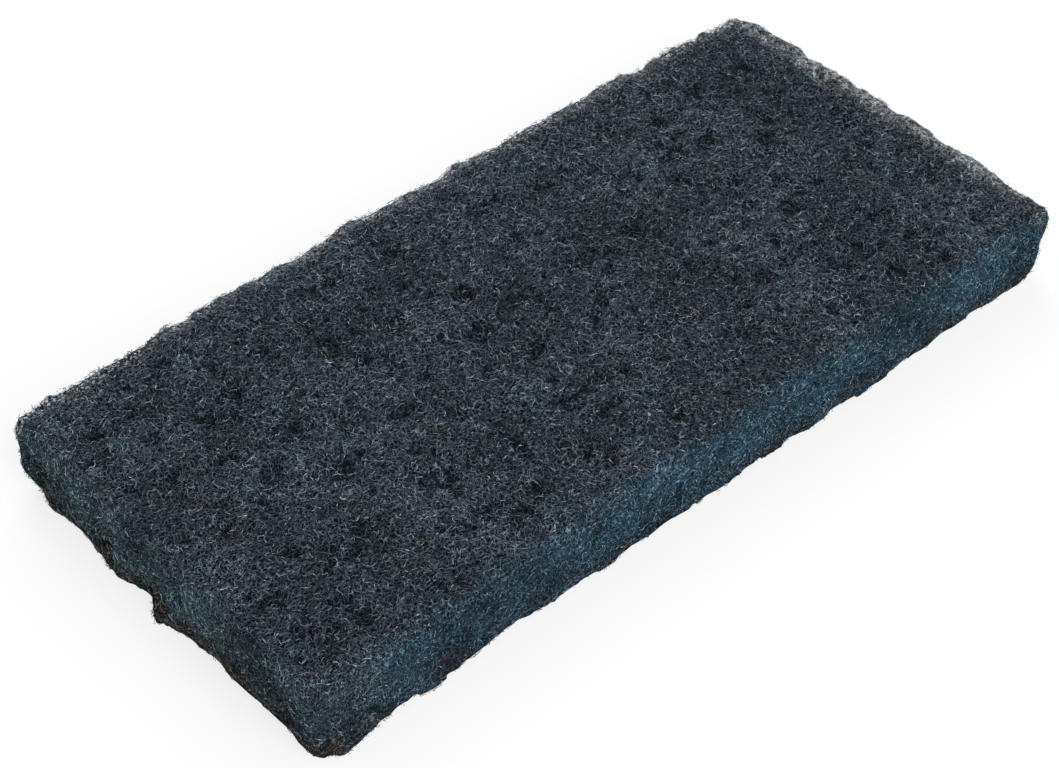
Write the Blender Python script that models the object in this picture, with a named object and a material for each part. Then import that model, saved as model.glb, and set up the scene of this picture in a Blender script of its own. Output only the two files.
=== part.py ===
"""A used scrub pad: one slab of crimped, bonded fibre web with an open, matted top and uneven cut sides.

Units are metres and +Z is up. X runs along the pad and Y across it. The pad lies on its flat underside,
with the origin under the middle of the slab.
"""

import math
import random

import bmesh
import bpy
from mathutils import Vector, noise

NAME = "scrub_pad"

# The slab as it was cut.
LENGTH = 0.254
WIDTH = 0.117
THICKNESS = 0.0235

# How round the edges wore.
TOP_EDGE_RADIUS = 0.0017
BOTTOM_EDGE_RADIUS = 0.0009
UPRIGHT_EDGE_RADIUS = 0.0016

# Faces along each side of the slab, before its edges are rounded.
CELLS_ALONG = 72
CELLS_ACROSS = 33
CELLS_UP = 5
EDGE_SEGMENTS = 2

# Two of the sides were cut with a bow: the far long side and the right end.
LONG_SIDE_BOW = 0.0034
END_BOW = 0.0022

# The sides draw in a little towards the underside.
UNDERCUT = 0.0004

# The knife wandered along every side, and tore fibres out as it went.
CUT_WAVE = 0.0007
CUT_WAVE_SPAN = 0.022
TORN_RELIEF = 0.0009
TORN_SPAN = 0.0065

# The mat rises and sinks in broad lumps, and the crimped web stands out of it as ridges.
LUMP_HEIGHT = 0.0010
LUMP_SPAN = 0.024
RIDGE_HEIGHT = 0.0014
RIDGE_SPAN = 0.0090

# The web's grain: each corner of a face is moved off the even grid by up to this share of the face, and in
# or out by up to this height.
GRID_JITTER = 0.30
GRAIN_HEIGHT = 0.00045

# Open pores, one to each square of this side. A pore has a rim, which sets how wide it is, and a depth.
PORE_SPACING = 0.0160
PORE_MARGIN = 0.0070
PORE_RIM = 0.0011
PORE_DEPTH = 0.0034
PORE_SPREAD = 0.35

# Pores in the cut sides are narrower and shallower, and lie in a band about the sides' middle.
SIDE_PORE_SPACING = 0.0125
SIDE_PORE_RIM = 0.0015
SIDE_PORE_DEPTH = 0.0018
SIDE_PORE_BAND = 0.0140

# Clumps of loose fibre hang out of two sides, low down: where the middle lies, measured along the side from
# its left or front corner, how wide the clump is, how far it reaches out and how high it starts. A reach
# below zero is a nick.
END_CLUMPS = (
    (0.0600, 0.0120, 0.0034, 0.0085),
    (0.0820, 0.0240, 0.0024, 0.0075),
)
FRONT_CLUMPS = (
    (0.0110, 0.0200, 0.0026, 0.0100),
    (0.0350, 0.0150, 0.0017, 0.0080),
    (0.0590, 0.0180, -0.0011, 0.0120),
    (0.1880, 0.0340, 0.0015, 0.0060),
)

# The right front corner is worn away more than the others.
WORN_CORNER_REACH = 0.0100
WORN_CORNER_LOSS = 0.0012

SEED = 41

TOP_COLOUR = (0.030, 0.039, 0.047, 1.0)
SIDE_COLOUR = (0.030, 0.060, 0.083, 1.0)
WEB_ROUGHNESS = 0.92


def clear_scene():
    for thing in list(bpy.data.objects):
        bpy.data.objects.remove(thing)


def fade(value):
    """Runs smoothly from 0 to 1 as value does, and stays at either end past it."""
    value = min(max(value, 0.0), 1.0)
    return value * value * (3.0 - 2.0 * value)


def hump(distance, width):
    """A smooth hump, 1 in the middle and 0 from half the width on."""
    return fade(1.0 - abs(distance) / (0.5 * width))


def bow(share):
    """A full bow over a side, 0 at its two ends, where share is -0.5 and 0.5."""
    return 1.0 - (2.0 * share) ** 4


def edges_along(bm, axis):
    """The edges that run along one axis."""
    found = []
    for edge in bm.edges:
        run = (edge.verts[0].co - edge.verts[1].co).normalized()
        if abs(run[axis]) > 0.99:
            found.append(edge)
    return found


def make_slab():
    """A box of even cells that stands on Z 0."""
    bm = bmesh.new()
    bmesh.ops.create_cube(bm, size=1.0)
    bmesh.ops.scale(bm, vec=(LENGTH, WIDTH, THICKNESS), verts=bm.verts)
    bmesh.ops.translate(bm, vec=(0.0, 0.0, 0.5 * THICKNESS), verts=bm.verts)
    for axis, cells in enumerate((CELLS_ALONG, CELLS_ACROSS, CELLS_UP)):
        bmesh.ops.subdivide_edges(bm, edges=edges_along(bm, axis), cuts=cells - 1, use_grid_fill=True)
    return bm


def round_rim(bm, picked, radius):
    """Rounds those sharp edges of the box that pass the test."""
    sharp = [edge for edge in bm.edges if edge.calc_face_angle(0.0) > math.radians(30.0) and picked(edge)]
    bmesh.ops.bevel(
        bm,
        geom=sharp,
        offset=radius,
        offset_type="OFFSET",
        affect="EDGES",
        segments=EDGE_SEGMENTS,
        profile=0.5,
        material=-1,
        clamp_overlap=True,
    )


def round_edges(bm):
    tiny = 0.01 * THICKNESS

    def upright(edge):
        return abs(edge.verts[0].co.z - edge.verts[1].co.z) > tiny

    def on_top(edge):
        return min(vert.co.z for vert in edge.verts) > THICKNESS - tiny

    def underneath(edge):
        return max(vert.co.z for vert in edge.verts) < tiny

    round_rim(bm, upright, UPRIGHT_EDGE_RADIUS)
    round_rim(bm, on_top, TOP_EDGE_RADIUS)
    round_rim(bm, underneath, BOTTOM_EDGE_RADIUS)


def flatten_underside(bm):
    """Makes the underside one flat face, as the slab lies on it."""
    under = [face for face in bm.faces if face.normal.z < -0.99]
    bmesh.ops.dissolve_faces(bm, faces=under, use_verts=False)


def jitter_grain(bm):
    """Moves each corner of a face within its own wall, off the even grid, and then in or out of the wall."""
    reach = GRID_JITTER * min(LENGTH / CELLS_ALONG, WIDTH / CELLS_ACROSS)
    rim = max(TOP_EDGE_RADIUS, UPRIGHT_EDGE_RADIUS, BOTTOM_EDGE_RADIUS)
    chance = random.Random(SEED)
    bm.normal_update()
    for vert in bm.verts:
        slide = Vector(chance.uniform(-reach, reach) for axis in range(3))
        lift = chance.uniform(-GRAIN_HEIGHT, GRAIN_HEIGHT)
        slide -= slide.project(vert.normal)
        in_wall = max(abs(part) for part in vert.normal) > 0.999
        if in_wall and vert.co.z > rim:
            vert.co += slide
        if vert.co.z > rim:
            vert.co += lift * vert.normal


def bow_sides(bm):
    """Leans the plan of the slab out to its two bowed sides, and draws it in towards the underside."""
    for vert in bm.verts:
        along = vert.co.x / LENGTH
        across = vert.co.y / WIDTH
        down = 1.0 - vert.co.z / THICKNESS
        vert.co.y += LONG_SIDE_BOW * bow(along) * fade(across + 0.5)
        vert.co.x += END_BOW * bow(across) * fade(along + 0.5)
        vert.co.x -= 2.0 * along * UNDERCUT * down
        vert.co.y -= 2.0 * across * UNDERCUT * down


def clump_reach(clumps, place, height):
    """How far the clumps of one side stand out at a place along it."""
    reach = 0.0
    for middle, width, out, tall in clumps:
        reach += out * hump(place - middle, width) * fade(1.0 - height / tall)
    return reach


def shape_cut_sides(bm):
    """Gives each cut side its wandering line, its torn relief and its clumps of loose fibre."""
    for vert in bm.verts:
        x, y, z = vert.co
        near_end = fade(1.0 - (0.5 * LENGTH - abs(x)) / CUT_WAVE_SPAN)
        near_side = fade(1.0 - (0.5 * WIDTH - abs(y)) / CUT_WAVE_SPAN)
        wave = Vector((x, y, 0.6 * z)) / CUT_WAVE_SPAN
        torn = Vector((x, y, z)) / TORN_SPAN
        apart = Vector((7.3, 5.1, 2.9))
        end_out = CUT_WAVE * noise.noise(wave) + TORN_RELIEF * noise.noise(torn)
        side_out = CUT_WAVE * noise.noise(wave + apart) + TORN_RELIEF * noise.noise(torn + apart)
        if x < 0.0:
            end_out += clump_reach(END_CLUMPS, y + 0.5 * WIDTH, z)
        if y < 0.0:
            side_out += clump_reach(FRONT_CLUMPS, x + 0.5 * LENGTH, z)
        vert.co.x += math.copysign(end_out * near_end, x)
        vert.co.y += math.copysign(side_out * near_side, y)


def wear_corner(bm):
    """Wears the right front corner away, most at the underside."""
    corner = Vector((0.5 * LENGTH, -0.5 * WIDTH))
    for vert in bm.verts:
        to_corner = (vert.co.xy - corner).length
        loss = WORN_CORNER_LOSS * fade(1.0 - to_corner / WORN_CORNER_REACH)
        loss *= 1.0 - 0.6 * vert.co.z / THICKNESS
        vert.co.x -= loss
        vert.co.y += loss


def ridge(place):
    """A web of rounded ridges: 1 on their crests and 0 between them."""
    crest = 1.0 - min(1.0, 2.2 * abs(noise.noise(place)))
    return crest * crest


def raise_web(bm):
    """Lifts the mat in broad lumps and ridges, in full at the top and not at all below mid height."""
    for vert in bm.verts:
        high = fade(2.0 * vert.co.z / THICKNESS - 1.0)
        flat = Vector((vert.co.x, vert.co.y, 0.0))
        lift = LUMP_HEIGHT * noise.noise(flat / LUMP_SPAN)
        lift += RIDGE_HEIGHT * (ridge(flat / RIDGE_SPAN) - 0.5)
        vert.co.z += lift * high


def scatter(length, height, spacing, chance):
    """Places over a length and a height, measured from their middle: one to each square of the spacing."""
    columns = max(1, round(length / spacing))
    rows = max(1, round(height / spacing))
    places = []
    for column in range(columns):
        for row in range(rows):
            along = (column + chance.uniform(0.15, 0.85)) / columns - 0.5
            up = (row + chance.uniform(0.15, 0.85)) / rows - 0.5
            places.append((along * length, up * height))
    return places


def pore_places(chance):
    """Where the pores go, as (place, way in) pairs: over the top, then round the cut sides."""
    long_run = LENGTH - 2.0 * PORE_MARGIN
    short_run = WIDTH - 2.0 * PORE_MARGIN
    places = []
    for x, y in scatter(long_run, short_run, PORE_SPACING, chance):
        places.append((Vector((x, y, THICKNESS)), Vector((0.0, 0.0, -1.0))))
    for side in (-1.0, 1.0):
        for x, z in scatter(long_run, SIDE_PORE_BAND, SIDE_PORE_SPACING, chance):
            places.append((Vector((x, 0.5 * side * WIDTH, 0.5 * THICKNESS + z)), Vector((0.0, -side, 0.0))))
        for y, z in scatter(short_run, SIDE_PORE_BAND, SIDE_PORE_SPACING, chance):
            places.append((Vector((0.5 * side * LENGTH, y, 0.5 * THICKNESS + z)), Vector((-side, 0.0, 0.0))))
    return places


def pick_pore_corners(bm, places):
    """The corner of the grid nearest to each place, with no two pores sharing a face."""
    bm.normal_update()
    walls = {}
    for vert in bm.verts:
        if len(vert.link_faces) == 4:
            way = max(range(3), key=lambda axis: abs(vert.normal[axis]))
            walls.setdefault((way, vert.normal[way] > 0.0), []).append(vert)
    taken = set()
    picked = []
    for place, inward in places:
        way = max(range(3), key=lambda axis: abs(inward[axis]))
        near = walls.get((way, inward[way] < 0.0), [])
        near = [vert for vert in near if taken.isdisjoint(vert.link_faces)]
        if not near:
            continue
        corner = min(near, key=lambda vert: (vert.co - place).length)
        taken.update(corner.link_faces)
        picked.append((corner, inward))
    return picked


def open_pores(bm):
    """Makes one many-sided face round each picked corner, and sinks it into the web inside a rim."""
    chance = random.Random(SEED + 1)
    for corner, inward in pick_pore_corners(bm, pore_places(chance)):
        around = list(corner.link_faces)
        face = bmesh.ops.dissolve_faces(bm, faces=around, use_verts=False)["region"][0]
        rim, depth = (PORE_RIM, PORE_DEPTH) if inward.z else (SIDE_PORE_RIM, SIDE_PORE_DEPTH)
        rim *= chance.uniform(1.0 - PORE_SPREAD, 1.0 + PORE_SPREAD)
        depth *= chance.uniform(1.0 - PORE_SPREAD, 1.0 + PORE_SPREAD)
        bmesh.ops.inset_individual(bm, faces=[face], thickness=rim, use_even_offset=True)
        bmesh.ops.translate(bm, vec=depth * inward, verts=face.verts)


def settle(bm):
    """Puts the origin under the middle of the finished slab."""
    low = Vector(min(vert.co[axis] for vert in bm.verts) for axis in range(3))
    high = Vector(max(vert.co[axis] for vert in bm.verts) for axis in range(3))
    middle = 0.5 * (low + high)
    bmesh.ops.translate(bm, vec=(-middle.x, -middle.y, -low.z), verts=bm.verts)


def colour_faces(bm):
    """Gives the steep faces of the cut sides the second material."""
    bm.normal_update()
    for face in bm.faces:
        middle = face.calc_center_median()
        near_rim = abs(middle.x) > 0.5 * LENGTH - PORE_MARGIN or abs(middle.y) > 0.5 * WIDTH - PORE_MARGIN
        face.material_index = int(near_rim and abs(face.normal.z) < 0.7)
        face.smooth = True


def make_material(name, colour):
    material = bpy.data.materials.new(name)
    material.use_nodes = True
    shader = material.node_tree.nodes["Principled BSDF"]
    shader.inputs["Base Color"].default_value = colour
    shader.inputs["Roughness"].default_value = WEB_ROUGHNESS
    shader.inputs["Metallic"].default_value = 0.0
    material.diffuse_color = colour
    return material


def make_pad():
    bm = make_slab()
    round_edges(bm)
    flatten_underside(bm)
    jitter_grain(bm)
    bow_sides(bm)
    shape_cut_sides(bm)
    wear_corner(bm)
    raise_web(bm)
    open_pores(bm)
    bmesh.ops.triangulate(bm, faces=bm.faces, quad_method="BEAUTY", ngon_method="BEAUTY")
    settle(bm)
    colour_faces(bm)
    mesh = bpy.data.meshes.new(NAME)
    bm.to_mesh(mesh)
    bm.free()
    mesh.materials.append(make_material("worn_top", TOP_COLOUR))
    mesh.materials.append(make_material("cut_side", SIDE_COLOUR))
    pad = bpy.data.objects.new(NAME, mesh)
    bpy.context.scene.collection.objects.link(pad)
    return pad


def main():
    clear_scene()
    make_pad()


main()
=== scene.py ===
"""The look of a used scrub pad: crimped, bonded fibres matted over an open core, on a pale studio floor.

The core is the solid's own shape, drawn in a little and given a finer, pitted surface. The web's fibres are
laid over it one by one. Each is a crimped line that wanders over the core and is skinned as a thin strand.
Everything is in metres, in the frame of the solid.
"""

import math

import bmesh
import bpy
import numpy as np
from bpy.props import FloatProperty, FloatVectorProperty, IntProperty, PointerProperty
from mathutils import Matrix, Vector, noise
from mathutils.bvhtree import BVHTree


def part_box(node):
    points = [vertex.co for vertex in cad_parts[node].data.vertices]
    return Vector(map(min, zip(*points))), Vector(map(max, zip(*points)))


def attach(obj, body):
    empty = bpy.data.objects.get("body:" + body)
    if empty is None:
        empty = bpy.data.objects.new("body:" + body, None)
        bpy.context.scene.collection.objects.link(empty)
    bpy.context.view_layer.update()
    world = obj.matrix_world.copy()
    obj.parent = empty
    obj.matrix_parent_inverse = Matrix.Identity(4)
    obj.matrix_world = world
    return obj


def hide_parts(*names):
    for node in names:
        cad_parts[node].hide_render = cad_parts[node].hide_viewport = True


bl_info = {
    "name": "Scrub Pad",
    "version": (1, 0, 0),
    "blender": (4, 5, 0),
    "location": "3D View > Sidebar > Scrub Pad",
    "description": "Builds a scrub pad of crimped fibre web over its solid, and a pale stage for it",
    "category": "Object",
}

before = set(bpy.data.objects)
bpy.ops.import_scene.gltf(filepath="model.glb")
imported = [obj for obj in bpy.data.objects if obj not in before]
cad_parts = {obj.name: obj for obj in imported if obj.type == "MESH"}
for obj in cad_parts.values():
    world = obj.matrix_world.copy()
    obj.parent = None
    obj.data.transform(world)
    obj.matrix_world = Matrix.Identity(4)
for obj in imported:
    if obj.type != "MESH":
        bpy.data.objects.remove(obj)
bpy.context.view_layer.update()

NODE = "scrub_pad"
BODY = "root"
LOW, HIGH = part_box(NODE)

# The walls of the pad's box, and for each its axis and which way it faces.
LEFT, RIGHT, FRONT, BACK, UNDERSIDE, TOP = range(6)
WALLS = ((0, -1.0), (0, 1.0), (1, -1.0), (1, 1.0), (2, -1.0), (2, 1.0))
WALL_AXES = np.array([axis for axis, way in WALLS])
WALL_WAYS = np.array([way for axis, way in WALLS])

# The strands painted on the core, from the near ones to the deep: span, width, shift and brightness.
# The brightness falls from the near strands to the deep ones: painted shade.
CORE_STRANDS = (
    (0.0014, 0.045, 0.0, 2.30),
    (0.0012, 0.045, 0.3, 1.60),
    (0.0014, 0.040, 0.6, 1.00),
    (0.0010, 0.050, 0.9, 0.50),
    (0.0009, 0.050, 1.2, 0.25),
)
# Lumps and dents in the rims of the sides: the wall, the place along it, half the width, the height, which is
# less than 0 for a dent, and which rim it is in.
RIM_LUMPS = (
    (LEFT, 0.048, 0.006, 0.0015, "foot"),
    (LEFT, 0.018, 0.009, 0.0012, "foot"),
    (LEFT, 0.0045, 0.006, -0.0012, "foot"),
    (LEFT, -0.006, 0.008, 0.0021, "foot"),
    (LEFT, 0.054, 0.008, -0.0008, "top"),
    (RIGHT, 0.039, 0.014, 0.0013, "top"),
    (RIGHT, -0.023, 0.010, -0.0018, "top"),
    (RIGHT, -0.045, 0.010, -0.0018, "top"),
    (FRONT, -0.1215, 0.006, 0.0014, "foot"),
    (FRONT, -0.107, 0.005, 0.0010, "foot"),
    (FRONT, -0.068, 0.013, -0.0010, "foot"),
    (FRONT, 0.008, 0.008, 0.0007, "foot"),
    (FRONT, 0.040, 0.012, 0.0010, "foot"),
    (FRONT, 0.092, 0.014, -0.0010, "foot"),
    (BACK, -0.120, 0.011, 0.0016, "top"),
    (BACK, -0.085, 0.008, -0.0012, "top"),
    (BACK, -0.065, 0.013, 0.0014, "top"),
    (BACK, -0.018, 0.011, 0.0016, "top"),
    (BACK, 0.018, 0.006, 0.0012, "top"),
    (BACK, 0.098, 0.008, 0.0017, "top"),
)
# How far in a lump or dent reaches from its wall, and a drawn corner from its tip. The left corner is drawn
# out less than the right one.
LUMP_DEPTH = 0.012
CORNER_REACH = 0.008
LEFT_CORNER_SHARE = 0.9
# The undercut foot: how high it goes, how much deeper it is at the left end, and how far inside the box the
# clumps begin that it leaves out.
FOOT_HEIGHT = 0.010
LEFT_FOOT_SHARE = 1.8
LEFT_CLUMPS = 0.0028
FRONT_CLUMPS = 0.0017
CLUMP_FADE = 0.0012
# The spans over which the swell comes and goes, and those of its ins and outs at the right end.
SWELL_SPAN = 0.010
RIGHT_SWELL_SPAN = 0.0055
# The worn band and the bands of painted sheen at the edges: how wide each is, how far inside the far edge the
# worn one begins, and how many bins the edges are found in. The worn band also sets the painted glints.
FAR_WEAR = 0.0045
FAR_HAZE = 0.0060
RIGHT_HAZE = 0.0062
LEFT_WEAR = 0.040
WEAR_INSET = 0.0008
EDGE_BINS = 60

MERGE_DISTANCE = 1e-6
HOLLOW_ROUNDS = 160
SKIN_LAYERS = ("skin_x", "skin_y", "skin_z")

# How a fibre sways up and down at each step, and how far the deepest sinks, as a share of its shell.
SWAY_PHASE = 2.1
SUNK_SHARE = 0.75
# A short end: its step as a share of a fibre's, how far it leans, and how much it wanders and bends.
END_STEP_SHARE = 0.55
END_LEAN = 1.1
END_WANDER = 0.6
END_BEND = 0.8
CUT_END_REACH = 0.0004
LOOSE_END_REACH = 0.0016
SECTION_CORNERS = 3
THICKNESS_RANGE = (0.75, 1.25)
TIP_THICKNESS = 0.6
TOP_SEED, SIDE_SEED, UNDERSIDE_SEED, LOOSE_SEED = 11, 12, 13, 14

# The floor's half width, how much of its own light the camera sees, and the light that comes from all round.
FLOOR_REACH = 3.0
FLOOR_GLOW = 0.72
ROUND_LIGHT = 0.55


class PadSizes(bpy.types.PropertyGroup):
    """The sizes of the core and of its fibres."""

    cell: FloatProperty(
        name="Core cell",
        description="The size of one cell of the core's surface",
        default=0.0014,
        unit="LENGTH",
        subtype="DISTANCE",
    )
    shell: FloatProperty(
        name="Fibre shell",
        description="How deep the layer of single fibres is, from the web's skin in to the core",
        default=0.0007,
        unit="LENGTH",
        subtype="DISTANCE",
    )
    side_shell: FloatProperty(
        name="Side shell",
        description="The fibre shell's depth at the edges and cut sides, as a share of its depth elsewhere",
        default=0.4,
        min=0.0,
        max=1.0,
        subtype="FACTOR",
    )
    rim_shell: FloatProperty(
        name="Rim shell",
        description="The fibre shell's depth at the rims, as a share of its depth beside them",
        default=0.5,
        min=0.0,
        max=1.0,
        subtype="FACTOR",
    )
    wear_depth: FloatProperty(
        name="Wear depth",
        description="How much deeper the shell is where the web is worn thin at the pad's edges",
        default=0.0005,
        unit="LENGTH",
        subtype="DISTANCE",
    )
    corner_draw: FloatProperty(
        name="Corner draw",
        description="How far the left and right corners of the top are drawn out",
        default=0.0023,
        unit="LENGTH",
        subtype="DISTANCE",
    )
    swell: FloatProperty(
        name="Swell",
        description="How far the web's skin stands off the solid",
        default=0.0009,
        unit="LENGTH",
        subtype="DISTANCE",
    )
    swell_change: FloatProperty(
        name="Swell change",
        description="How much the swell comes and goes along the pad, as a share of it",
        default=1.3,
        min=0.0,
        subtype="FACTOR",
    )
    undercut: FloatProperty(
        name="Undercut",
        description="How far the foot of the sides is drawn in between its clumps",
        default=0.0005,
        unit="LENGTH",
        subtype="DISTANCE",
    )
    bridging: FloatProperty(
        name="Bridging",
        description="How much of the depth of the solid's pores the fibres bridge",
        default=0.85,
        min=0.0,
        max=1.0,
        subtype="FACTOR",
    )
    filling: FloatProperty(
        name="Filling",
        description="How much of the depth of the solid's pores the core fills",
        default=0.45,
        min=0.0,
        max=1.0,
        subtype="FACTOR",
    )
    relief: FloatProperty(
        name="Core relief",
        description="How far the core's fine relief stands in and out",
        default=0.0003,
        unit="LENGTH",
        subtype="DISTANCE",
    )
    relief_span: FloatProperty(
        name="Relief span",
        description="The width of one rise in the core's fine relief",
        default=0.0019,
        unit="LENGTH",
        subtype="DISTANCE",
    )
    pit_depth: FloatProperty(
        name="Pit depth",
        description="How deep the small pits between the solid's pores go",
        default=0.0018,
        unit="LENGTH",
        subtype="DISTANCE",
    )
    pit_span: FloatProperty(
        name="Pit span",
        description="The distance over which pits come and go",
        default=0.0042,
        unit="LENGTH",
        subtype="DISTANCE",
    )
    pit_level: FloatProperty(
        name="Pit level",
        description="How rare the pits are, as the height of the noise that they come from",
        default=0.35,
    )
    fibre_radius: FloatProperty(
        name="Fibre radius",
        description="Half the thickness of a fibre",
        default=0.000082,
        unit="LENGTH",
        subtype="DISTANCE",
    )
    fibre_step: FloatProperty(
        name="Fibre step",
        description="The length of each straight stretch of a crimped fibre",
        default=0.00068,
        unit="LENGTH",
        subtype="DISTANCE",
    )
    fibre_points: IntProperty(
        name="Fibre points",
        description="How many points a fibre has along its length",
        default=5,
        min=3,
    )
    curl: FloatProperty(
        name="Curl",
        description="How much a fibre bends one way at each point",
        default=math.radians(10.0),
        subtype="ANGLE",
    )
    crimp: FloatProperty(
        name="Crimp",
        description="How much a fibre kinks to either side at each point",
        default=math.radians(46.0),
        subtype="ANGLE",
    )
    loft: FloatProperty(
        name="Loft",
        description="How high the highest fibres stand over the web's skin",
        default=0.0004,
        unit="LENGTH",
        subtype="DISTANCE",
    )
    top_fibres: IntProperty(
        name="Top fibres",
        description="How many fibres each third of the top gets",
        default=5600,
    )
    side_fibres: IntProperty(
        name="Side fibres",
        description="How many fibres the front and left cut sides get, and then the back and right ones",
        default=1700,
    )
    cut_ends: IntProperty(
        name="Cut ends",
        description="How many short fibre ends show in the front and left cut sides, and then in the others",
        default=5000,
    )
    under_fibres: IntProperty(
        name="Underside fibres", description="How many fibres the underside gets", default=2600
    )
    loose_fibres: IntProperty(
        name="Loose fibres", description="How many torn ends stand off the pad's edges", default=350
    )
    end_points: IntProperty(
        name="End points", description="How many points a short end has along its length", default=4, min=3
    )


class PadColours(bpy.types.PropertyGroup):
    """The colours of the web."""

    matted: FloatVectorProperty(
        name="Matted",
        description="A fibre of the matted top and underside",
        default=(0.076, 0.103, 0.132),
        min=0.0,
        max=1.0,
        subtype="COLOR",
    )
    dusty: FloatVectorProperty(
        name="Dusty",
        description="The browner patches of the matted top and underside",
        default=(0.0795, 0.0998, 0.1215),
        min=0.0,
        max=1.0,
        subtype="COLOR",
    )
    cut: FloatVectorProperty(
        name="Cut",
        description="A fibre of the cut sides",
        default=(0.058, 0.115, 0.165),
        min=0.0,
        max=1.0,
        subtype="COLOR",
    )
    teal: FloatVectorProperty(
        name="Teal",
        description="The greener patches of the cut sides",
        default=(0.084, 0.130, 0.152),
        min=0.0,
        max=1.0,
        subtype="COLOR",
    )
    # Painted highlight: the pale that the painted highlights, glints and sheen are mixed toward.
    pale: FloatVectorProperty(
        name="Pale",
        description="Fibres that were scoured pale",
        default=(0.70, 0.73, 0.75),
        min=0.0,
        max=1.0,
        subtype="COLOR",
    )
    # Painted shade: the brown-tinted near-black painted at the foot of the cut sides.
    shaded: FloatVectorProperty(
        name="Soiled",
        description="Fibres at the foot of the sides, browned with dirt",
        default=(0.017, 0.013, 0.007),
        min=0.0,
        max=1.0,
        subtype="COLOR",
    )
    # Painted shade: the lighter brown patches in the painted shade at the foot.
    brown_shade: FloatVectorProperty(
        name="Rusty",
        description="The brown patches in the soiled foot",
        default=(0.110, 0.062, 0.028),
        min=0.0,
        max=1.0,
        subtype="COLOR",
    )
    # Painted shade: the near-black of the web's inside, which shows between the painted strands of the core.
    deep: FloatVectorProperty(
        name="Deep",
        description="The inside of the web, seen between fibres",
        default=(0.003, 0.005, 0.007),
        min=0.0,
        max=1.0,
        subtype="COLOR",
    )


class PadStage(bpy.types.PropertyGroup):
    """The camera and the light."""

    azimuth: FloatProperty(
        name="Azimuth",
        description="Which side the camera looks from",
        default=math.radians(-41.68),
        subtype="ANGLE",
    )
    elevation: FloatProperty(
        name="Elevation",
        description="How high the camera looks from",
        default=math.radians(44.48),
        subtype="ANGLE",
    )
    distance: FloatProperty(
        name="Distance",
        description="From the camera to the point that it looks at",
        default=0.641,
        unit="LENGTH",
        subtype="DISTANCE",
    )
    target: FloatVectorProperty(
        name="Target",
        description="The point that the camera looks at",
        default=(-0.01564, -0.00805, 0.012),
        unit="LENGTH",
        subtype="TRANSLATION",
    )
    lens: FloatProperty(
        name="Lens", description="The camera's focal length, in millimetres", default=83.79, unit="CAMERA"
    )


# Meshes as arrays


def mesh_points(mesh):
    points = np.empty(3 * len(mesh.vertices), np.float32)
    mesh.vertices.foreach_get("co", points)
    return points.reshape(-1, 3).astype(float)


def mesh_triangles(mesh):
    """The corners of each face of a mesh that is all triangles."""
    corners = np.empty(len(mesh.loops), np.int32)
    mesh.loops.foreach_get("vertex_index", corners)
    return corners.reshape(-1, 3)


def mesh_edges(mesh):
    ends = np.empty(2 * len(mesh.edges), np.int32)
    mesh.edges.foreach_get("vertices", ends)
    return ends.reshape(-1, 2)


def mesh_normals(mesh):
    normals = np.empty(3 * len(mesh.vertices), np.float32)
    mesh.vertex_normals.foreach_get("vector", normals)
    return normals.reshape(-1, 3).astype(float)


def store(mesh, name, values):
    """Keeps one number for each vertex under a name that the materials read."""
    layer = mesh.attributes.new(name, "FLOAT", "POINT")
    layer.data.foreach_set("value", np.asarray(values, np.float32))


def stored(mesh, name):
    values = np.empty(len(mesh.vertices), np.float32)
    mesh.attributes[name].data.foreach_get("value", values)
    return values


def neighbour_means(edges, values):
    """For each vertex, the mean of the values of the vertices that it shares an edge with."""
    ends = np.concatenate((edges, edges[:, ::-1]))
    totals = np.bincount(ends[:, 0], values[ends[:, 1]], len(values))
    return totals / np.maximum(np.bincount(ends[:, 0], minlength=len(values)), 1)


def fade(values):
    """Runs smoothly from 0 to 1 as the values do, and stays at either end past it."""
    values = np.clip(values, 0.0, 1.0)
    return values * values * (3.0 - 2.0 * values)


def unit(vectors):
    return vectors / np.maximum(np.linalg.norm(vectors, axis=-1, keepdims=True), 1e-12)


def field(points, span, shift=0.0):
    """Smooth noise at each point, about from -1 to 1, over a span."""
    offset = Vector((shift, 0.7 * shift, 0.3 * shift))
    return np.array([noise.noise(Vector(point) / span + offset) for point in points])


def add_object(name, data):
    thing = bpy.data.objects.new(name, data)
    bpy.context.scene.collection.objects.link(thing)
    return thing


def evaluated_mesh(draft):
    """The mesh that an object's modifiers or its curve make."""
    return bpy.data.meshes.new_from_object(draft.evaluated_get(bpy.context.evaluated_depsgraph_get()))


def add_piece(name, mesh):
    """Adds a piece of the pad to the scene, on the pad's body."""
    piece = add_object(name, mesh)
    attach(piece, BODY)
    return piece


# Materials


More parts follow.
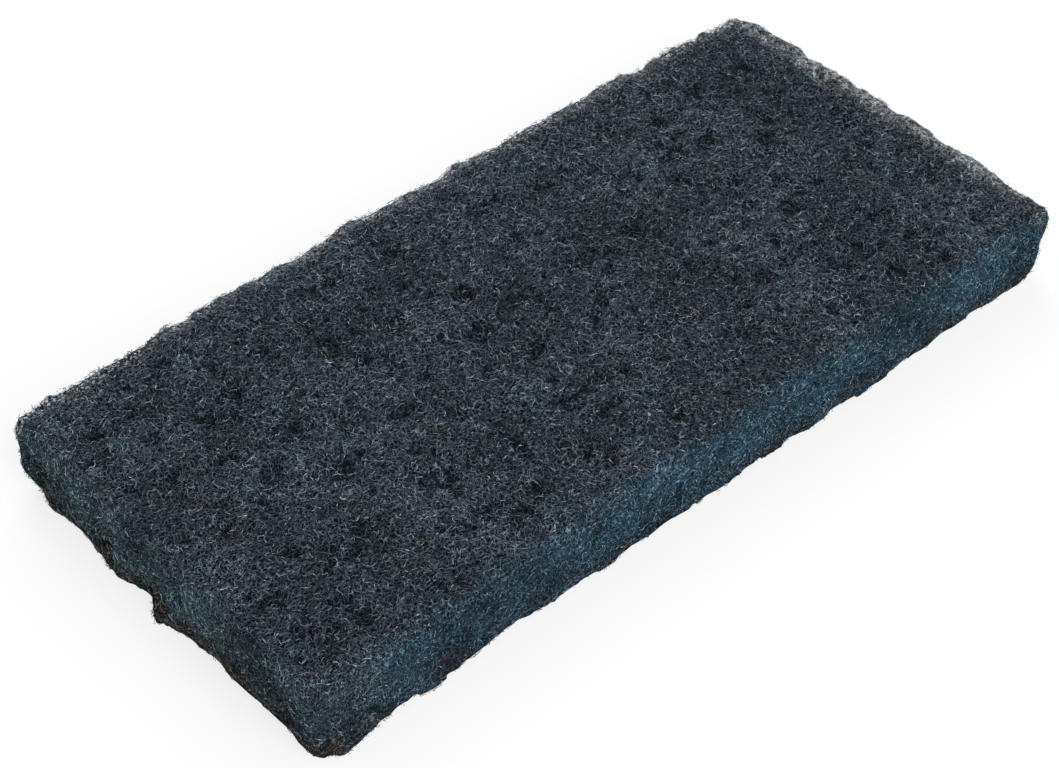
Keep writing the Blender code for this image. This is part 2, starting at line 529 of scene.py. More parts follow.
class Shading:
    """A material and the steps that make it. A step's inputs are numbers, colours or other steps' outputs."""

    def __init__(self, name):
        self.material = bpy.data.materials.new(name)
        self.material.use_nodes = True
        self.tree = self.material.node_tree
        self.surface = self.tree.nodes["Principled BSDF"]

    def give(self, socket, value):
        if isinstance(value, bpy.types.NodeSocket):
            self.tree.links.new(value, socket)
        elif isinstance(value, (tuple, list)) and len(value) == 3 and len(socket.default_value) == 4:
            socket.default_value = (*value, 1.0)
        else:
            socket.default_value = value

    def add(self, kind, inputs=(), output=0, **settings):
        """Adds one node, fills its inputs by name or number, and returns one of its outputs."""
        node = self.tree.nodes.new(kind)
        for name, value in settings.items():
            setattr(node, name, value)
        for name, value in dict(inputs).items():
            self.give(node.inputs[name], value)
        return node.outputs[output]

    def place(self):
        return self.add("ShaderNodeTexCoord", output="Object")

    def attribute(self, name):
        return self.add("ShaderNodeAttribute", output="Fac", attribute_name=name)

    def maths(self, operation, first, second=0.0, clamp=False):
        return self.add("ShaderNodeMath", {0: first, 1: second}, operation=operation, use_clamp=clamp)

    def noise(self, place, span, detail=2.0, output="Fac", shift=0.0):
        moved = self.add("ShaderNodeVectorMath", {0: place, 1: (shift, shift, shift)}, operation="ADD")
        return self.add(
            "ShaderNodeTexNoise", {"Vector": moved, "Scale": 1.0 / span, "Detail": detail}, output=output
        )

    def between(self, value, low, high, to_low=0.0, to_high=1.0):
        """Carries a value smoothly from one range to another, and holds it at either end."""
        inputs = {"Value": value, "From Min": low, "From Max": high, "To Min": to_low, "To Max": to_high}
        return self.add("ShaderNodeMapRange", inputs, interpolation_type="SMOOTHSTEP")

    def blend(self, share, first, second, way="MIX"):
        """Mixes two colours. A share of 0 is the first one."""
        inputs = {0: share, 6: first, 7: second}
        return self.add("ShaderNodeMix", inputs, output=2, data_type="RGBA", blend_type=way)

    def dimmed(self, colour, strength):
        """A colour, made darker or lighter by a strength."""
        grey = self.add("ShaderNodeCombineXYZ", {"X": strength, "Y": strength, "Z": strength})
        return self.blend(1.0, colour, grey, way="MULTIPLY")

    def strands(self, place, span, width, shift):
        """Thin winding lines, 1 along the middle of a line and 0 between lines. They fade in and out."""
        level = self.maths("SUBTRACT", self.noise(place, span, 0.0, shift=shift), 0.5)
        line = self.between(self.maths("ABSOLUTE", level), 0.0, width, 1.0, 0.0)
        fades = self.between(self.noise(place, 0.7 * span, 0.0, shift=-shift), 0.3, 0.6, 0.25)
        return self.maths("MULTIPLY", line, fades)

    def softened(self, strength, middle):
        """Draws the strength of the light on the cut sides toward a middle level."""
        share = self.maths("MULTIPLY", self.attribute("cut"), 0.20)
        inputs = {0: share, 2: strength, 3: middle}
        return self.add("ShaderNodeMix", inputs, data_type="FLOAT")

    def finish(self, colour, roughness, gloss, sheen, bump=None, bump_strength=0.0, bump_height=0.0):
        self.give(self.surface.inputs["Base Color"], colour)
        self.give(self.surface.inputs["Roughness"], roughness)
        self.surface.inputs["Specular IOR Level"].default_value = gloss
        self.surface.inputs["Sheen Weight"].default_value = sheen
        self.surface.inputs["Sheen Roughness"].default_value = 0.5
        if bump is not None:
            inputs = {"Height": bump, "Strength": bump_strength, "Distance": bump_height}
            self.give(self.surface.inputs["Normal"], self.add("ShaderNodeBump", inputs))
        return self.material


def cut_colour(shading, place, along, colours):
    """The cut sides: blue, greener toward the left end, in lighter and darker blotches."""
    patch = shading.maths("MULTIPLY", shading.noise(place, 0.020, 2.0), 0.06)
    patch = shading.between(shading.maths("ADD", along, patch), -0.094, -0.064)
    side = shading.blend(patch, tuple(colours.teal), tuple(colours.cut))
    blotch = shading.between(shading.noise(place, 0.011, 2.0, shift=6.5), 0.32, 0.68, 0.66, 1.34)
    red = shading.maths("POWER", blotch, 0.8)
    blotch = shading.add("ShaderNodeCombineXYZ", {"X": red, "Y": blotch, "Z": blotch})
    return shading.blend(1.0, side, blotch, way="MULTIPLY")


def matted_colour(shading, place, colours):
    """The matted top and underside: slate, with browner patches."""
    dust = shading.between(shading.noise(place, 0.014, 3.0, shift=8.0), 0.34, 0.66)
    return shading.blend(dust, tuple(colours.matted), tuple(colours.dusty))


def foot_shade(shading, place, along, height):
    """How much painted shade the web gets: at a ragged foot of the cut sides, full at the left end and a bit
    under half as strong elsewhere.
    """
    fringe = shading.maths("MULTIPLY", shading.noise(place, 0.010, 3.0, shift=3.0), 0.0125)
    foot = shading.between(shading.maths("SUBTRACT", height, fringe), -0.0022, 0.0026, 1.0, 0.0)
    left_end = shading.between(along, LOW[0] + 0.005, LOW[0] + 0.012, 1.0, 0.45)
    return shading.maths("MULTIPLY", shading.maths("MULTIPLY", foot, shading.attribute("cut")), left_end)


def web_colour(shading, place, colours):
    """The web's colour, from slate on the matted faces to blue on the cut sides, with a brown-tinted painted
    shade at the foot of the cut sides.
    """
    along = shading.add("ShaderNodeSeparateXYZ", {"Vector": place}, output="X")
    height = shading.add("ShaderNodeSeparateXYZ", {"Vector": place}, output="Z")
    ragged = shading.maths("MULTIPLY", shading.maths("SUBTRACT", shading.noise(place, 0.006), 0.5), 0.8)
    spread = shading.between(shading.maths("ADD", shading.attribute("cut"), ragged), 0.10, 0.80)
    matted, cut = matted_colour(shading, place, colours), cut_colour(shading, place, along, colours)
    shade = shading.between(shading.noise(place, 0.024, 2.0, shift=2.5), 0.3, 0.7, 0.76, 1.26)
    unshaded = shading.dimmed(shading.blend(spread, matted, cut), shade)
    # Painted shade at the foot of the cut sides, tinted brown in patches.
    brown_share = shading.between(shading.noise(place, 0.0034, 1.0, shift=5.0), 0.50, 0.66)
    shaded = shading.blend(brown_share, tuple(colours.shaded), tuple(colours.brown_shade))
    return shading.blend(foot_shade(shading, place, along, height), unshaded, shaded)


def mottled_sheen(shading, place):
    """How far the web is painted pale with painted sheen, in a fine mottle."""
    mottle = shading.between(shading.noise(place, 0.0013, 1.0, shift=4.0), 0.42, 0.60, 0.30, 1.8)
    return shading.maths("MULTIPLY", shading.attribute("painted_sheen"), mottle, clamp=True)


def core_material(colours):
    """The inside of the web: nets of finer fibres, one under another, painted dimmer the deeper they lie,
    over a near-black painted shade, and painted darker over pores and pits, with painted glints and sheen
    near the edges.
    """
    shading = Shading("web_core")
    place = shading.place()
    net = 0.0
    for span, width, shift, bright in CORE_STRANDS:
        strand = shading.maths("MULTIPLY", shading.strands(place, span, width, shift), bright)
        net = shading.maths("MAXIMUM", net, strand)
    # Painted shade: the core is painted darker over the open pores and pits.
    pore_shade = shading.between(shading.attribute("open"), 0.0, 0.8, 1.0, 0.45)
    lit = shading.softened(shading.maths("MULTIPLY", net, pore_shade), 0.4)
    colour = shading.dimmed(web_colour(shading, place, colours), lit)
    # Painted shade: the near-black of the web's inside, under the painted strands.
    colour = shading.blend(1.0, colour, tuple(colours.deep), way="ADD")
    # Painted glints: pale blobs painted on the core along the worn far edge.
    glints = shading.between(shading.noise(place, 0.0009, 1.0, shift=2.0), 0.55, 0.60)
    glints = shading.maths("MULTIPLY", glints, shading.attribute("worn"))
    # Painted sheen: the painted strands turn pale in a mottle at the right end and along the far edge.
    haze = shading.maths("MULTIPLY", shading.between(net, 0.1, 1.0, 0.15, 0.9), mottled_sheen(shading, place))
    colour = shading.blend(shading.maths("MAXIMUM", glints, haze), colour, tuple(colours.pale))
    bumps = {"bump": net, "bump_strength": 0.6, "bump_height": 0.0004}
    return shading.finish(colour, roughness=0.9, gloss=0.0, sheen=0.0, **bumps)


def fibre_material(colours):
    """The single fibres: each has its own tone, a few are painted pale with painted highlights, glints and
    sheen, and the deep ones are painted dim as painted shade.
    """
    shading = Shading("web_fibre")
    place = shading.place()
    tone = shading.attribute("tone")
    dim = shading.between(tone, 0.0, 1.0, 0.30, 1.72)
    along = shading.between(shading.noise(place, 0.0010, 2.0), 0.35, 0.65, 0.40, 1.65)
    # Painted shade: the deeper a fibre lies in the shell, the dimmer it is painted.
    deep = shading.between(shading.attribute("depth"), 0.0, 1.0, 1.45, 0.12)
    strength = shading.softened(shading.maths("MULTIPLY", shading.maths("MULTIPLY", dim, along), deep), 0.8)
    colour = shading.dimmed(web_colour(shading, place, colours), strength)
    # Painted highlights: small pale spots on the lighter fibres.
    highlight_specks = shading.between(shading.noise(place, 0.0008, 1.0, shift=2.0), 0.57, 0.65, 0.0, 0.80)
    highlit = shading.maths("MULTIPLY", highlight_specks, shading.between(tone, 0.5, 1.0))
    # Painted glints: some fibres along the worn far edge are painted pale.
    worn = shading.maths("MULTIPLY", shading.attribute("worn"), shading.between(tone, 0.7, 1.0, 0.0, 0.6))
    # Painted sheen: fibres at the right end and along the far edge are painted pale in a mottle.
    taken = shading.between(tone, 0.1, 0.7, 0.15, 1.0)
    painted_sheen = shading.maths("MULTIPLY", mottled_sheen(shading, place), taken)
    # All painted light: highlights, glints and sheen, mixed toward the pale colour.
    highlit = shading.maths("MAXIMUM", highlit, shading.maths("MAXIMUM", worn, painted_sheen))
    colour = shading.blend(highlit, colour, tuple(colours.pale))
    rough = shading.between(shading.noise(place, 0.003, 2.0, shift=1.0), 0.3, 0.7, 0.40, 0.60)
    return shading.finish(colour, rough, gloss=0.23, sheen=0.05)


# The core


def wall_of(points):
    """The wall of the pad's box that each point lies nearest to."""
    ends = np.array([HIGH[axis] if way > 0.0 else LOW[axis] for axis, way in WALLS])
    return np.argmin(WALL_WAYS * (ends - points[:, WALL_AXES]), axis=1)


def even_copy(cell):
    """The solid's shape, as one closed skin of even cells."""
    bm = bmesh.new()
    bm.from_mesh(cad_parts[NODE].data)
    bmesh.ops.remove_doubles(bm, verts=bm.verts, dist=MERGE_DISTANCE)
    mesh = bpy.data.meshes.new("web_core_draft")
    bm.to_mesh(mesh)
    bm.free()
    draft = add_object("web_core_draft", mesh)
    remesh = draft.modifiers.new("Remesh", "REMESH")
    remesh.mode = "VOXEL"
    remesh.voxel_size = cell
    draft.modifiers.new("Triangulate", "TRIANGULATE")
    even = evaluated_mesh(draft)
    bpy.data.objects.remove(draft)
    bpy.data.meshes.remove(mesh)
    return even


def smoothed(edges, values, rounds):
    for _ in range(rounds):
        values = neighbour_means(edges, values)
    return values


def hollow_depths(points, edges, walls):
    """How far each point lies under the level around it, in its own wall."""
    reach = WALL_WAYS[walls] * points[np.arange(len(points)), WALL_AXES[walls]]
    within = edges[walls[edges[:, 0]] == walls[edges[:, 1]]]
    filled = reach
    for _ in range(HOLLOW_ROUNDS):
        filled = np.maximum(filled, neighbour_means(within, filled))
    return filled - reach


def draw_corners(points, distance):
    """Draws the left and right corners out, more at the top than at the foot."""
    moved = points.copy()
    for way, share in ((-1.0, LEFT_CORNER_SHARE), (1.0, 1.0)):
        diagonal = np.array((way, -way)) / math.sqrt(2.0)
        tip = points[np.argmax(points[:, :2] @ diagonal), :2]
        near = np.maximum(0.0, 1.0 - np.linalg.norm(points[:, :2] - tip, axis=1) / CORNER_REACH) ** 1.4
        moved[:, :2] += diagonal * (share * distance * near * (0.25 + 0.75 * points[:, 2] / HIGH[2]))[:, None]
    return moved


def lump_rims(points):
    """Moves the rims of the sides out at their lumps and in at their dents."""
    moved = points.copy()
    for wall, place, reach, height, rim in RIM_LUMPS:
        axis, way = WALLS[wall]
        end = HIGH[axis] if way > 0.0 else LOW[axis]
        along = fade(1.0 - np.abs(points[:, 1 - axis] - place) / reach)
        inward = fade(1.0 - way * (end - points[:, axis]) / LUMP_DEPTH)
        level = points[:, 2] / HIGH[2]
        level = fade(2.0 * level - 0.6) if rim == "top" else fade(1.4 - 2.5 * level)
        moved[:, axis] += way * height * along * inward * level
    return moved


def undercuts(points, normals, depth):
    """How far the foot of the sides is drawn in at each point. The clumps that stand out there are left."""
    left = normals[:, 0] < -0.5
    standing = np.where(left, LOW[0] + LEFT_CLUMPS - points[:, 0], LOW[1] + FRONT_CLUMPS - points[:, 1])
    foot = 1.0 - fade(points[:, 2] / FOOT_HEIGHT)
    return depth * np.where(left, LEFT_FOOT_SHARE, 1.0) * foot * (1.0 - fade(standing / CLUMP_FADE))


def swollen(points, normals, off_floor, sizes):
    """The web's skin, which stands off the solid unevenly, with the forms of its rims, foot and corners."""
    sideways = np.column_stack((np.ones(len(points)), np.ones(len(points)), off_floor))
    right = (normals[:, 0] > 0.0) & (points[:, 0] > 0.0)
    sideways[:, 0] = np.where(right, -0.3 + 1.8 * field(points, RIGHT_SWELL_SPAN, shift=7.0), 1.0)
    swell = sizes.swell * (1.0 + sizes.swell_change * field(points, SWELL_SPAN, shift=6.0))
    swell -= undercuts(points, normals, sizes.undercut)
    return lump_rims(draw_corners(points + normals * sideways * swell[:, None], sizes.corner_draw))


def shape_core(mesh, sizes):
    """Sinks the core under the fibre shell, with its fine relief and its pits. Stores, for each vertex, the
    place of the web's skin over it and what the web is like there."""
    points, normals, edges = mesh_points(mesh), mesh_normals(mesh), mesh_edges(mesh)
    walls = wall_of(points)
    hollows = hollow_depths(points, edges, walls)
    off_floor = fade(points[:, 2] / (3.0 * sizes.shell))
    outward = np.zeros(points.shape)
    outward[np.arange(len(points)), WALL_AXES[walls]] = WALL_WAYS[walls]
    points = swollen(points, normals, off_floor, sizes)
    skin = points + outward * (sizes.bridging * hollows)[:, None]
    pits = off_floor * fade((field(points, sizes.pit_span, shift=9.0) - sizes.pit_level) * 5.0)
    cut = (walls < UNDERSIDE).astype(float)
    near_sides, cut = np.minimum(1.0, 1.6 * smoothed(edges, cut, 4)), smoothed(edges, cut, 6)
    rims = np.zeros(len(points))
    rims[edges[walls[edges[:, 0]] != walls[edges[:, 1]]]] = 1.0
    near_rims = np.minimum(1.0, 2.4 * smoothed(edges, rims, 4))
    pits *= 1.0 - near_rims
    filling = sizes.filling + (sizes.bridging - sizes.filling) * near_rims
    worn, painted_sheen = edge_wear_and_sheen(points, skin)
    shells = sizes.shell * (1.0 - (1.0 - sizes.side_shell) * near_sides)
    shells *= 1.0 - (1.0 - sizes.rim_shell) * near_rims
    relief = sizes.relief * field(points, sizes.relief_span) * shells / sizes.shell
    shells += sizes.wear_depth * worn
    depths = shells + relief + sizes.pit_depth * pits
    floor_depth = sizes.fibre_radius + 0.25 * sizes.shell
    points = points + outward * (filling * hollows)[:, None]
    points -= normals * (floor_depth + (depths - floor_depth) * off_floor)[:, None]
    points[:, 2] = np.maximum(points[:, 2], LOW[2] + floor_depth)
    mesh.vertices.foreach_set("co", points.astype(np.float32).ravel())
    mesh.update()
    for axis, name in enumerate(SKIN_LAYERS):
        store(mesh, name, skin[:, axis])
    store(mesh, "open", np.clip(np.maximum(hollows / sizes.pit_depth - 1.1, pits), 0.0, 1.0))
    store(mesh, "cut", cut)
    store(mesh, "shell", shells)
    # Where the web is worn thin, and where glints are painted on it.
    store(mesh, "worn", worn)
    # Where painted sheen is mixed in.
    store(mesh, "painted_sheen", painted_sheen)


class Ground:
    """The web's skin over the core, as the fibres that lie on it need it."""

    def __init__(self, mesh):
        self.points = np.stack([stored(mesh, name) for name in SKIN_LAYERS], axis=1).astype(float)
        self.triangles = mesh_triangles(mesh)
        first, second, third = (self.points[self.triangles[:, corner]] for corner in range(3))
        self.areas = 0.5 * np.linalg.norm(np.cross(second - first, third - first), axis=1)
        self.middles = (first + second + third) / 3.0
        self.walls = wall_of(self.middles)
        self.open, self.cut, self.shell, self.worn = (
            stored(mesh, name)[self.triangles].mean(axis=1) for name in ("open", "cut", "shell", "worn")
        )
        self.tree = BVHTree.FromPolygons(self.points.tolist(), self.triangles.tolist())

    def density(self, chosen):
        """How thickly fibres lie on the chosen faces: sparse over pores and where the web is worn through."""
        return chosen * (1.0 - 0.6 * self.open) * (1.0 - 0.35 * self.worn)

    def scatter(self, weights, count, rng):
        """Random places on the skin, more of them where the weights are higher."""
        chances = self.areas * weights
        faces = rng.choice(len(chances), size=count, p=chances / chances.sum())
        shares = rng.dirichlet((1.0, 1.0, 1.0), size=count)
        return np.einsum("nk,nkd->nd", shares, self.points[self.triangles[faces]])

    def nearest(self, places):
        """For each place, the nearest point of the skin, the way out there and the face that it is on."""
        points, normals, faces, _ = zip(*(self.tree.find_nearest(place) for place in places.tolist()))
        return np.array(points), np.array(normals), np.array(faces)


# The fibres


def turned(headings, axes, angles):
    """Each heading, turned about its axis, to which it is square."""
    cosines, sines = np.cos(angles)[:, None], np.sin(angles)[:, None]
    return headings * cosines + np.cross(axes, headings) * sines


def drop_knots(lines, under, depths, sizes):
    """Leaves out the fibres that were bunched up where the ground is sharply bent."""
    steps = np.linalg.norm(np.diff(lines, axis=1), axis=2)
    kept = steps.min(axis=1) > 0.25 * sizes.fibre_step
    return lines[kept], under[kept], depths[kept]


def lay_fibres(ground, weights, count, sizes, rng):
    """Lays crimped fibres in the web's shell. Returns, by fibre and step, their points, the face under each
    and how deep in the shell it is, from 0 to 1."""
    places, normals, faces = ground.nearest(ground.scatter(weights, count, rng))
    headings = unit(np.cross(normals, rng.normal(size=(count, 3))))
    curls = rng.normal(0.0, sizes.curl, count)
    rests = rng.uniform(0.0, 1.0, count)
    waves = 0.5 * rng.uniform(0.4, 1.0, count)
    phases = rng.uniform(0.0, 2.0 * math.pi, count)
    lines, under, depths = [], [], []
    for step in range(sizes.fibre_points):
        depth = np.clip(rests + waves * np.sin(phases + SWAY_PHASE * step), 0.0, 1.0)
        shells = ground.shell[faces]
        lofts = sizes.loft * shells / sizes.shell
        lifts = lofts - (lofts + SUNK_SHARE * shells) * depth
        lines.append(places + normals * lifts[:, None])
        under.append(faces)
        depths.append(depth)
        headings = turned(headings, normals, curls + rng.normal(0.0, sizes.crimp, count))
        places, normals, faces = ground.nearest(places + headings * sizes.fibre_step)
        headings = unit(headings - normals * np.sum(headings * normals, axis=1, keepdims=True))
    return drop_knots(np.stack(lines, axis=1), np.stack(under, axis=1), np.stack(depths, axis=1), sizes)


def lay_ends(ground, weights, count, reach, sizes, rng):
    """Short ends that come up out of the shell at all angles, no further than the reach. Returns what
    lay_fibres does."""
    roots, normals, faces = ground.nearest(ground.scatter(weights, count, rng))
    shells = ground.shell[faces]
    places = roots - normals * (rng.uniform(0.2, 0.9, count) * shells)[:, None]
    headings = unit(normals + END_LEAN * rng.normal(size=(count, 3)))
    bends = unit(rng.normal(size=(count, 3)))
    lines, depths = [], []
    for _ in range(sizes.end_points):
        lifts = np.sum((places - roots) * normals, axis=1)
        lines.append(places - normals * np.maximum(lifts - reach, 0.0)[:, None])
        depths.append(np.clip(0.25 - 0.75 * lifts / shells, 0.0, 1.0))
        bends = unit(bends + END_WANDER * rng.normal(size=(count, 3)))
        headings = unit(headings + END_BEND * bends)
        places = places + headings * END_STEP_SHARE * sizes.fibre_step
    under = np.repeat(faces[:, None], sizes.end_points, axis=1)
    return drop_knots(np.stack(lines, axis=1), under, np.stack(depths, axis=1), sizes)


def fibre_section(radius):
    """The outline that is swept along every fibre. It runs clockwise, so that the faces point outwards."""
    section = bpy.data.curves.new("fibre_section", "CURVE")
    section.dimensions = "2D"
    spline = section.splines.new("POLY")
    spline.points.add(SECTION_CORNERS - 1)
    spline.use_cyclic_u = True
    for corner, point in enumerate(spline.points):
        angle = -2.0 * math.pi * corner / SECTION_CORNERS
        point.co = (radius * math.cos(angle), radius * math.sin(angle), 0.0, 1.0)
    return add_object("fibre_section", section)


def skin_fibres(name, lines, radius, rng):
    """Sweeps the section along every line and closes the ends, as one mesh. Its vertices run section by
    section along each line."""
    count, steps = lines.shape[:2]
    outline = fibre_section(radius)
    curve = bpy.data.curves.new(name, "CURVE")
    curve.dimensions = "3D"
    curve.bevel_mode = "OBJECT"
    curve.bevel_object = outline
    thickness = rng.uniform(*THICKNESS_RANGE, (count, 1)) * np.ones(steps)
    thickness[:, (0, -1)] *= TIP_THICKNESS
    for line, widths in zip(lines, thickness):
        spline = curve.splines.new("POLY")
        spline.points.add(steps - 1)
        spline.points.foreach_set("co", np.column_stack((line, np.ones(steps))).ravel())
        spline.points.foreach_set("radius", widths)
    draft = add_object(name, curve)
    mesh = evaluated_mesh(draft)
    for helper in (draft, outline):
        data = helper.data
        bpy.data.objects.remove(helper)
        bpy.data.curves.remove(data)
    bm = bmesh.new()
    bm.from_mesh(mesh)
    bmesh.ops.holes_fill(bm, edges=[edge for edge in bm.edges if edge.is_boundary], sides=SECTION_CORNERS)
    bmesh.ops.triangulate(bm, faces=bm.faces)
    bm.to_mesh(mesh)
    bm.free()
    mesh.shade_smooth()
    mesh.name = name
    return mesh


def gap_to_edge(points, skin, along, across):
    """How far each point lies inside the pad's edge, which is the furthest that the skin reaches across."""
    bins = np.linspace(LOW[along], HIGH[along], EDGE_BINS)
    reach = np.full(len(bins) + 1, LOW[across])
    np.maximum.at(reach, np.digitize(skin[:, along], bins), skin[:, across])
    return reach[np.digitize(points[:, along], bins)] - points[:, across]


def edge_wear_and_sheen(points, skin):
    """How worn through the web is at the far long edge, which also sets the painted glints there, and how
    much painted sheen it gets at the right end and along the far edge, each from 0 to 1 at each point."""
    far_gap = gap_to_edge(points, skin, 0, 1)
    far_edge = fade(1.35 - far_gap / FAR_WEAR) * fade(far_gap / WEAR_INSET - 0.3)
    right_end = fade(1.3 - gap_to_edge(points, skin, 1, 0) / RIGHT_HAZE)
    near_left = fade(1.6 - (points[:, 0] - LOW[0]) / LEFT_WEAR)
    high_up = fade((points[:, 2] / HIGH[2] - 0.72) * 5.0)
    # The worn patches also set where glints are painted.
    wear_and_glint_patches = fade(field(points, 0.006, shift=4.0) * 3.0 + 0.45)
    worn = high_up * far_edge * np.maximum(0.85 * near_left, 0.3 + 0.7 * wear_and_glint_patches)
    # Painted sheen: pale patches at the right end, and a band of it along the far edge.
    sheen_patches = fade(field(points, 0.0035, shift=5.0) * 2.6 + 0.55)
    off_corner = 0.2 + 0.8 * fade((points[:, 1] - LOW[1]) / 0.010 - 0.4)
    far_sheen_band = 0.22 * (1.0 - near_left) * fade(1.2 - far_gap / FAR_HAZE)
    return worn, high_up * np.maximum(right_end * off_corner * (0.45 + 0.75 * sheen_patches), far_sheen_band)


def add_fibres(name, laid, ground, sizes, material, rng):
    """Adds one piece of fibres, with what their material reads stored at each vertex."""
    lines, under, depths = laid
    lines[:, :, 2] = np.maximum(lines[:, :, 2], LOW[2] + sizes.fibre_radius)
    mesh = skin_fibres(name, lines, sizes.fibre_radius, rng)
    count, steps = under.shape
    store(mesh, "tone", np.repeat(rng.uniform(0.0, 1.0, count), steps * SECTION_CORNERS))
    store(mesh, "depth", np.repeat(depths, SECTION_CORNERS))
    store(mesh, "cut", np.repeat(ground.cut[under], SECTION_CORNERS))
    for mark, values in zip(("worn", "painted_sheen"), edge_wear_and_sheen(lines.reshape(-1, 3), ground.points)):
        store(mesh, mark, np.repeat(values, SECTION_CORNERS))
    mesh.materials.append(material)
    return add_piece(name, mesh)


def find_ground():
    if "web_core" not in bpy.data.objects:
        raise RuntimeError("make the core before the fibres that lie on it")
    return Ground(bpy.data.objects["web_core"].data)


def shared_fibre_material(colours):
    return bpy.data.materials.get("web_fibre") or fibre_material(colours)


# Operators


class MakeCore(bpy.types.Operator):
    """Makes the core of the web in the solid's shape"""

    bl_idname = "scrub_pad.make_core"
    bl_label = "Make Core"

    def execute(self, context):
        sizes = context.scene.pad_sizes
        mesh = even_copy(sizes.cell)
        shape_core(mesh, sizes)
        mesh.shade_smooth()
        mesh.name = "web_core"
        mesh.materials.clear()
        mesh.materials.append(core_material(context.scene.pad_colours))
        core = add_piece("web_core", mesh)
        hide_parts(NODE)
        return {"FINISHED"}


class MakeTopFibres(bpy.types.Operator):
    """Lays the matted fibres of the top, in thirds along the pad"""

    bl_idname = "scrub_pad.make_top_fibres"
    bl_label = "Make Top Fibres"

    def execute(self, context):
        sizes = context.scene.pad_sizes
        ground = find_ground()
        rng = np.random.default_rng(TOP_SEED)
        material = shared_fibre_material(context.scene.pad_colours)
        share = (ground.middles[:, 0] - LOW[0]) / (HIGH[0] - LOW[0])
        thirds = np.floor(3.0 * share).clip(0, 2)
        for third, name in enumerate(("left", "middle", "right")):
            weights = ground.density((ground.walls == TOP) & (thirds == third))
            laid = lay_fibres(ground, weights, sizes.top_fibres, sizes, rng)
            add_fibres(f"top_fibres_{name}", laid, ground, sizes, material, rng)
        return {"FINISHED"}


class MakeSideFibres(bpy.types.Operator):
    """Lays the fibres of the cut sides"""

    bl_idname = "scrub_pad.make_side_fibres"
    bl_label = "Make Side Fibres"

    def execute(self, context):
        sizes = context.scene.pad_sizes
        ground = find_ground()
        rng = np.random.default_rng(SIDE_SEED)
        material = shared_fibre_material(context.scene.pad_colours)
        for name, walls in (("front", (LEFT, FRONT)), ("back", (RIGHT, BACK))):
            weights = ground.density(np.isin(ground.walls, walls))
            laid = lay_fibres(ground, weights, sizes.side_fibres, sizes, rng)
            add_fibres(f"side_fibres_{name}", laid, ground, sizes, material, rng)
            ends = lay_ends(ground, weights, sizes.cut_ends, CUT_END_REACH, sizes, rng)
            add_fibres(f"cut_ends_{name}", ends, ground, sizes, material, rng)
        return {"FINISHED"}


class MakeUndersideFibres(bpy.types.Operator):
    """Lays the flattened fibres of the underside"""

    bl_idname = "scrub_pad.make_underside_fibres"
    bl_label = "Make Underside Fibres"

    def execute(self, context):
        sizes = context.scene.pad_sizes
        ground = find_ground()
        rng = np.random.default_rng(UNDERSIDE_SEED)
        laid = lay_fibres(ground, ground.walls == UNDERSIDE, sizes.under_fibres, sizes, rng)
        material = shared_fibre_material(context.scene.pad_colours)
        add_fibres("underside_fibres", laid, ground, sizes, material, rng)
        return {"FINISHED"}


class MakeLooseFibres(bpy.types.Operator):
    """Adds the torn ends that stand off the pad's edges and corners"""

    bl_idname = "scrub_pad.make_loose_fibres"
    bl_label = "Make Loose Fibres"

    def execute(self, context):
        sizes = context.scene.pad_sizes
        ground = find_ground()
        rng = np.random.default_rng(LOOSE_SEED)
        rim = np.abs(ground.cut - 0.5) < 0.3
        high_up = ground.middles[:, 2] > 0.5 * HIGH[2]
        corners = (ground.middles[:, :2] / np.array(HIGH[:2])).prod(axis=1)
        weights = rim * np.where(high_up, 1.0, 0.3) * np.where(np.abs(corners) > 0.75, 9.0, 1.0)
        laid = lay_ends(ground, weights, sizes.loose_fibres, LOOSE_END_REACH, sizes, rng)
        material = shared_fibre_material(context.scene.pad_colours)
        add_fibres("loose_fibres", laid, ground, sizes, material, rng)
        return {"FINISHED"}


# The stage


def seen_rays(tree):
    """1 for a ray from the camera, straight or by way of a glossy or clear surface, and 0 for the rest."""
    path = tree.nodes.new("ShaderNodeLightPath")
    total = path.outputs["Is Camera Ray"]
    for name in ("Is Glossy Ray", "Is Transmission Ray"):
        both = tree.nodes.new("ShaderNodeMath")
        both.operation = "MAXIMUM"
        tree.links.new(total, both.inputs[0])
        tree.links.new(path.outputs[name], both.inputs[1])
        total = both.outputs[0]
    return total


def add_floor():
    """A wide pale floor. The camera sees it nearly white, and it keeps the pad's shadow."""
    bm = bmesh.new()
    bmesh.ops.create_grid(bm, x_segments=1, y_segments=1, size=FLOOR_REACH)
    mesh = bpy.data.meshes.new("floor")
    bm.to_mesh(mesh)
    bm.free()
    shading = Shading("studio_floor")
    shading.give(shading.surface.inputs["Base Color"], (0.93, 0.93, 0.93))
    shading.surface.inputs["Roughness"].default_value = 0.9
    shading.surface.inputs["Specular IOR Level"].default_value = 0.1
    glow = shading.tree.nodes.new("ShaderNodeEmission")
    share = shading.maths("MULTIPLY", seen_rays(shading.tree), FLOOR_GLOW)
    mixer = shading.tree.nodes.new("ShaderNodeMixShader")
    shading.give(mixer.inputs[0], share)
    shading.tree.links.new(shading.surface.outputs[0], mixer.inputs[1])
    shading.tree.links.new(glow.outputs[0], mixer.inputs[2])
    shading.tree.links.new(mixer.outputs[0], shading.tree.nodes["Material Output"].inputs["Surface"])
    mesh.materials.append(shading.material)
    add_object("floor", mesh)


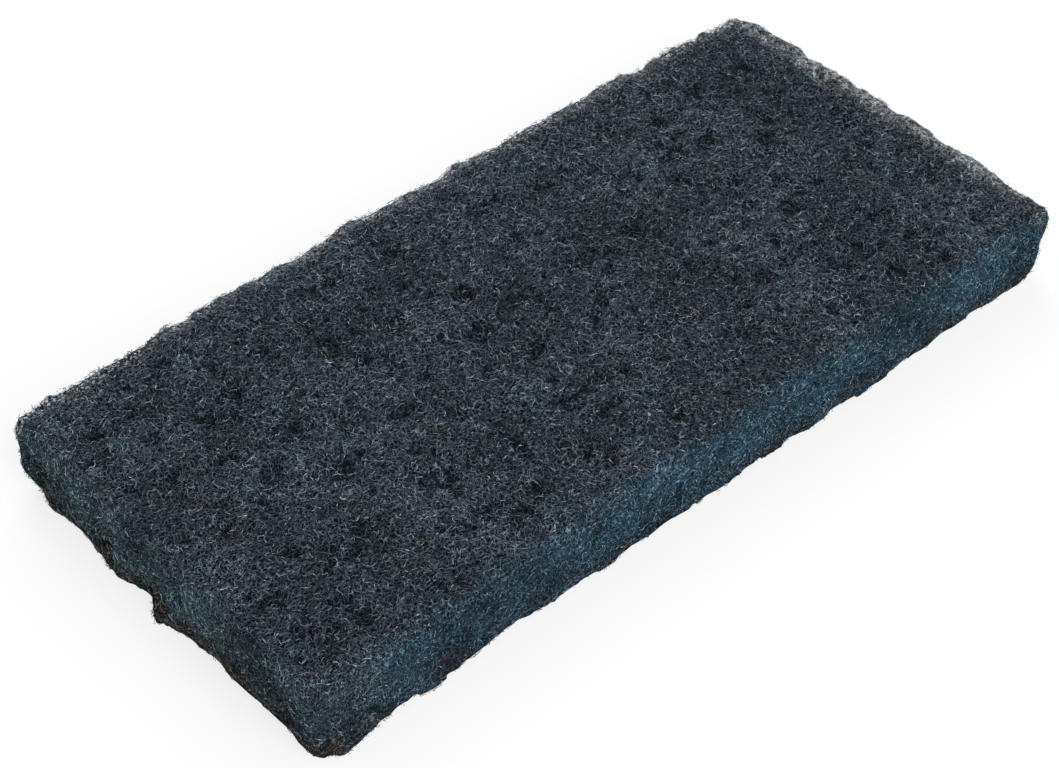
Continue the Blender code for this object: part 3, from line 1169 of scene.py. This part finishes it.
def add_world():
    """An even studio light from all round, and white where the camera sees past the floor."""
    world = bpy.data.worlds.new("studio")
    world.use_nodes = True
    tree = world.node_tree
    background = tree.nodes["Background"]
    reach = tree.nodes.new("ShaderNodeMapRange")
    reach.inputs["To Min"].default_value = ROUND_LIGHT
    reach.inputs["To Max"].default_value = 1.0
    tree.links.new(seen_rays(tree), reach.inputs["Value"])
    tree.links.new(reach.outputs["Result"], background.inputs["Strength"])
    background.inputs["Color"].default_value = (1.0, 1.0, 1.0, 1.0)
    bpy.context.scene.world = world


def add_softbox(name, place, side, power):
    """A square lamp that points at the pad."""
    lamp = bpy.data.lights.new(name, "AREA")
    lamp.shape = "SQUARE"
    lamp.size = side
    lamp.energy = power
    softbox = add_object(name, lamp)
    softbox.location = place
    softbox.rotation_mode = "QUATERNION"
    softbox.rotation_quaternion = (-Vector(place)).to_track_quat("-Z", "Y")


def add_camera(stage):
    """The camera, at the angle of the photograph."""
    around, up = stage.azimuth, stage.elevation
    back = Vector((math.sin(around) * math.cos(up), -math.cos(around) * math.cos(up), math.sin(up)))
    data = bpy.data.cameras.new("camera")
    data.lens = stage.lens
    data.sensor_width = 36.0
    data.clip_start, data.clip_end = 0.01, 20.0
    camera = add_object("camera", data)
    camera.location = Vector(stage.target) + stage.distance * back
    camera.rotation_mode = "QUATERNION"
    camera.rotation_quaternion = (-back).to_track_quat("-Z", "Y")
    bpy.context.scene.camera = camera


class MakeStage(bpy.types.Operator):
    """Adds the floor, the soft light and the camera"""

    bl_idname = "scrub_pad.make_stage"
    bl_label = "Make Stage"

    def execute(self, context):
        context.scene.view_settings.view_transform = "Standard"
        add_world()
        add_floor()
        add_softbox("key_softbox", (-0.20, -0.85, 0.85), side=0.8, power=10.0)
        add_softbox("back_softbox", (0.45, 0.75, 0.75), side=0.7, power=5.0)
        add_camera(context.scene.pad_stage)
        return {"FINISHED"}


# The panel and the add-on


class PadPanel(bpy.types.Panel):
    """Lists the pad's pieces and its stage"""

    bl_idname = "VIEW3D_PT_scrub_pad"
    bl_label = "Scrub Pad"
    bl_space_type = "VIEW_3D"
    bl_region_type = "UI"
    bl_category = "Scrub Pad"

    def draw(self, context):
        for operator in OPERATORS:
            self.layout.operator(operator.bl_idname)
        for group in (context.scene.pad_sizes, context.scene.pad_colours, context.scene.pad_stage):
            box = self.layout.box()
            for name in group.bl_rna.properties.keys():
                if name not in ("rna_type", "name"):
                    box.prop(group, name)


OPERATORS = (MakeCore, MakeTopFibres, MakeSideFibres, MakeUndersideFibres, MakeLooseFibres, MakeStage)
GROUPS = {"pad_sizes": PadSizes, "pad_colours": PadColours, "pad_stage": PadStage}


def register():
    for part in (*GROUPS.values(), *OPERATORS, PadPanel):
        bpy.utils.register_class(part)
    for name, group in GROUPS.items():
        setattr(bpy.types.Scene, name, PointerProperty(type=group))


def unregister():
    for name in GROUPS:
        delattr(bpy.types.Scene, name)
    for part in (PadPanel, *reversed(OPERATORS), *reversed(GROUPS.values())):
        bpy.utils.unregister_class(part)


def main():
    register()
    bpy.ops.scrub_pad.make_core()
    bpy.ops.scrub_pad.make_top_fibres()
    bpy.ops.scrub_pad.make_side_fibres()
    bpy.ops.scrub_pad.make_underside_fibres()
    bpy.ops.scrub_pad.make_loose_fibres()
    bpy.ops.scrub_pad.make_stage()


if __name__ == "__main__":
    main()
